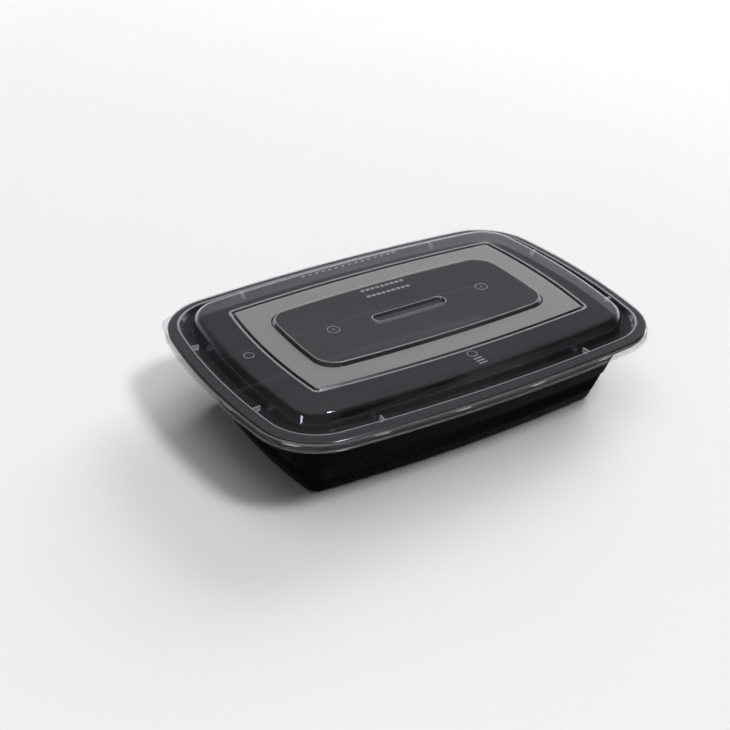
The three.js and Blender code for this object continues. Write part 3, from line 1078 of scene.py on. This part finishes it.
def lid_smooth_material(name, hazes, glow, roughnesses, gloss_tint=GLOSS_TINT):
    """Smooth plastic of one part of the lid, between its least and most haze and roughness."""
    material = start_material(name)
    tree = material.node_tree
    haze = spread(tree, noise(tree, 70, 2), *hazes)
    roughness = spread(tree, noise(tree, 80, 2), *roughnesses)
    normal = bump(tree, noise(tree, 60, 1), 0.05, 0.0003)
    see_through(tree, haze, roughness, normal, glow, HAZE_TINT, gloss_tint)
    return material


def lid_materials():
    """The lid's materials, in the order of its finishes."""
    return [
        lid_clear_material(),
        lid_frosted_material(),
        lid_edge_highlight_material(),
        lid_smooth_material("lid_skirt", (0.2, 0.24), 0.93, (0.29, 0.33)),
        lid_smooth_material("lid_wall", (0.06, 0.08), 0.9, (0.04, 0.08)),
        lid_smooth_material("lid_lip", (0.012, 0.018), 0.5, (0.13, 0.17)),
        # Channel: dimmed gloss, a painted shade in the channel.
        lid_smooth_material(
            "lid_channel_shade", (0.008, 0.012), 0.5, (0.1, 0.15), CHANNEL_SHADED_GLOSS_TINT,
        ),
        # Beads: heavy haze that paints short highlight dashes on the skirt.
        lid_smooth_material("lid_bead_highlight", (0.5, 0.6), 0.1, (0.12, 0.16)),
        lid_smooth_material("lid_slot", (0.045, 0.06), 0.3, (0.03, 0.06)),
    ]


# Stage: floor, light and camera

def make_floor():
    """A pale matt floor that doesn't show in gloss, with painted shade darker on the left."""
    corners = np.array([(-1, -1, 0), (1, -1, 0), (1, 1, 0), (-1, 1, 0)])
    floor = make_object("floor", corners * FLOOR_REACH, [(0, 1, 2, 3)])
    material = start_material("floor_white")
    tree = material.node_tree
    across = distance_along(tree, "Object", ACROSS_VIEW)
    # Painted shade: the floor's colour darkens towards the left of the view.
    painted_light_share = spread(tree, across, 0, 0.92, -FLOOR_BLEND, FLOOR_BLEND)
    share = calculate(tree, "MULTIPLY_ADD", noise(tree, 9, 3), 0.08, painted_light_share)
    colour = two_colours(tree, share, FLOOR_SHADED_LEFT, FLOOR_LIT_RIGHT)
    shader = node(tree, "ShaderNodeBsdfDiffuse", Color=colour, Roughness=1.0)
    node(tree, "ShaderNodeOutputMaterial", Surface=shader.outputs[0])
    floor.data.materials.append(material)
    floor.visible_glossy = False


def make_world():
    """The room's light, by the direction that it comes from."""
    world = bpy.data.worlds.new("room")
    bpy.context.scene.world = world
    world.use_nodes = True
    tree = world.node_tree
    tree.nodes.clear()
    ahead = distance_along(tree, "Generated", AWAY_FROM_CAMERA)
    place = node(tree, "ShaderNodeTexCoord").outputs["Generated"]
    parts = node(tree, "ShaderNodeSeparateXYZ", Vector=place)
    beside = parts.outputs["X"]
    height = parts.outputs["Z"]
    behind = calculate(
        tree, "MULTIPLY",
        eased(tree, ahead, 0, 1, 0.3, 0.8),
        eased(tree, height, BACKDROP, ROOM_BACK, 0.12, 0.45),
    )
    backdrop = calculate(tree, "MULTIPLY", behind, eased(tree, height, 0, 1, -0.5, -0.15))
    ceiling = eased(tree, height, ROOM_FRONT, OVERHEAD, 0.6, 0.95)
    doorway = calculate(
        tree, "MULTIPLY",
        eased(tree, beside, 0, FRONT_RIGHT, 0.46, 0.52),
        eased(tree, ahead, 1, 0, -0.6, 0),
    )
    pale_floor = calculate(
        tree, "MULTIPLY",
        eased(tree, beside, 0, FROM_BELOW, 0.38, 0.6),
        eased(tree, height, 1, 0, -0.7, -0.4),
    )
    upper = calculate(tree, "ADD", ceiling, backdrop)
    lower = calculate(tree, "ADD", doorway, pale_floor)
    whole = calculate(tree, "ADD", upper, lower)
    shade = two_colours(tree, whole, ROOM_DARK, ROOM_PALE, clamp=False)
    background = node(tree, "ShaderNodeBackground", Color=shade, Strength=1.0)
    node(tree, "ShaderNodeOutputWorld", Surface=background.outputs[0])


def area_light(name, direction, distance, size, power, colour):
    light = bpy.data.lights.new(name, "AREA")
    light.shape = "RECTANGLE"
    light.size = size[0]
    light.size_y = size[1]
    light.energy = power
    light.color = colour
    holder = bpy.data.objects.new(name, light)
    bpy.context.scene.collection.objects.link(holder)
    away = Vector(direction).normalized()
    holder.location = away * distance
    holder.rotation_mode = "QUATERNION"
    holder.rotation_quaternion = away.to_track_quat("Z", "Y")
    return holder


def make_camera():
    tilt = CAMERA_PITCH
    turn = CAMERA_AZIMUTH
    back = Vector((math.sin(turn) * math.cos(tilt), -math.cos(turn) * math.cos(tilt), math.sin(tilt)))
    right = Vector((math.cos(turn), math.sin(turn), 0))
    up = back.cross(right)
    rolled_right = right * math.cos(CAMERA_ROLL) + up * math.sin(CAMERA_ROLL)
    rolled_up = up * math.cos(CAMERA_ROLL) - right * math.sin(CAMERA_ROLL)
    eye = (back * CAMERA_DISTANCE + rolled_right * CAMERA_RIGHT + rolled_up * CAMERA_UP) * MM
    data = bpy.data.cameras.new("camera")
    data.lens = CAMERA_LENS
    data.sensor_width = CAMERA_SENSOR
    data.clip_start = CAMERA_NEAR
    data.clip_end = CAMERA_FAR
    camera = bpy.data.objects.new("camera", data)
    bpy.context.scene.collection.objects.link(camera)
    turned = Matrix((rolled_right, rolled_up, back)).transposed().to_4x4()
    camera.matrix_world = Matrix.Translation(eye) @ turned
    bpy.context.scene.camera = camera


def make_lights():
    """A small key lamp, two wide lamps that don't show in gloss, and a tall window."""
    area_light("key", KEY_DIRECTION, KEY_DISTANCE, KEY_SIZE, KEY_POWER, KEY_COLOUR)
    wide = [
        area_light("fill", FILL_DIRECTION, FILL_DISTANCE, FILL_SIZE, FILL_POWER, FILL_COLOUR),
        area_light(
            "ceiling", CEILING_DIRECTION, CEILING_DISTANCE, CEILING_SIZE, CEILING_POWER,
            CEILING_COLOUR,
        ),
    ]
    for light in wide:
        light.visible_glossy = False
    area_light(
        "window", WINDOW_DIRECTION, WINDOW_DISTANCE, WINDOW_SIZE, WINDOW_POWER, WINDOW_COLOUR,
    )


make_camera()
make_world()
make_floor()
make_lights()

tray = build_tray()
tray.data.materials.append(tray_material())
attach(tray, "root")
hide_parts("tray")

lid = build_lid()
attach(lid, "root")
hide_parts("lid")

bpy.context.scene.view_settings.view_transform = "Standard"
bpy.context.scene.cycles.transparent_max_bounces = 24
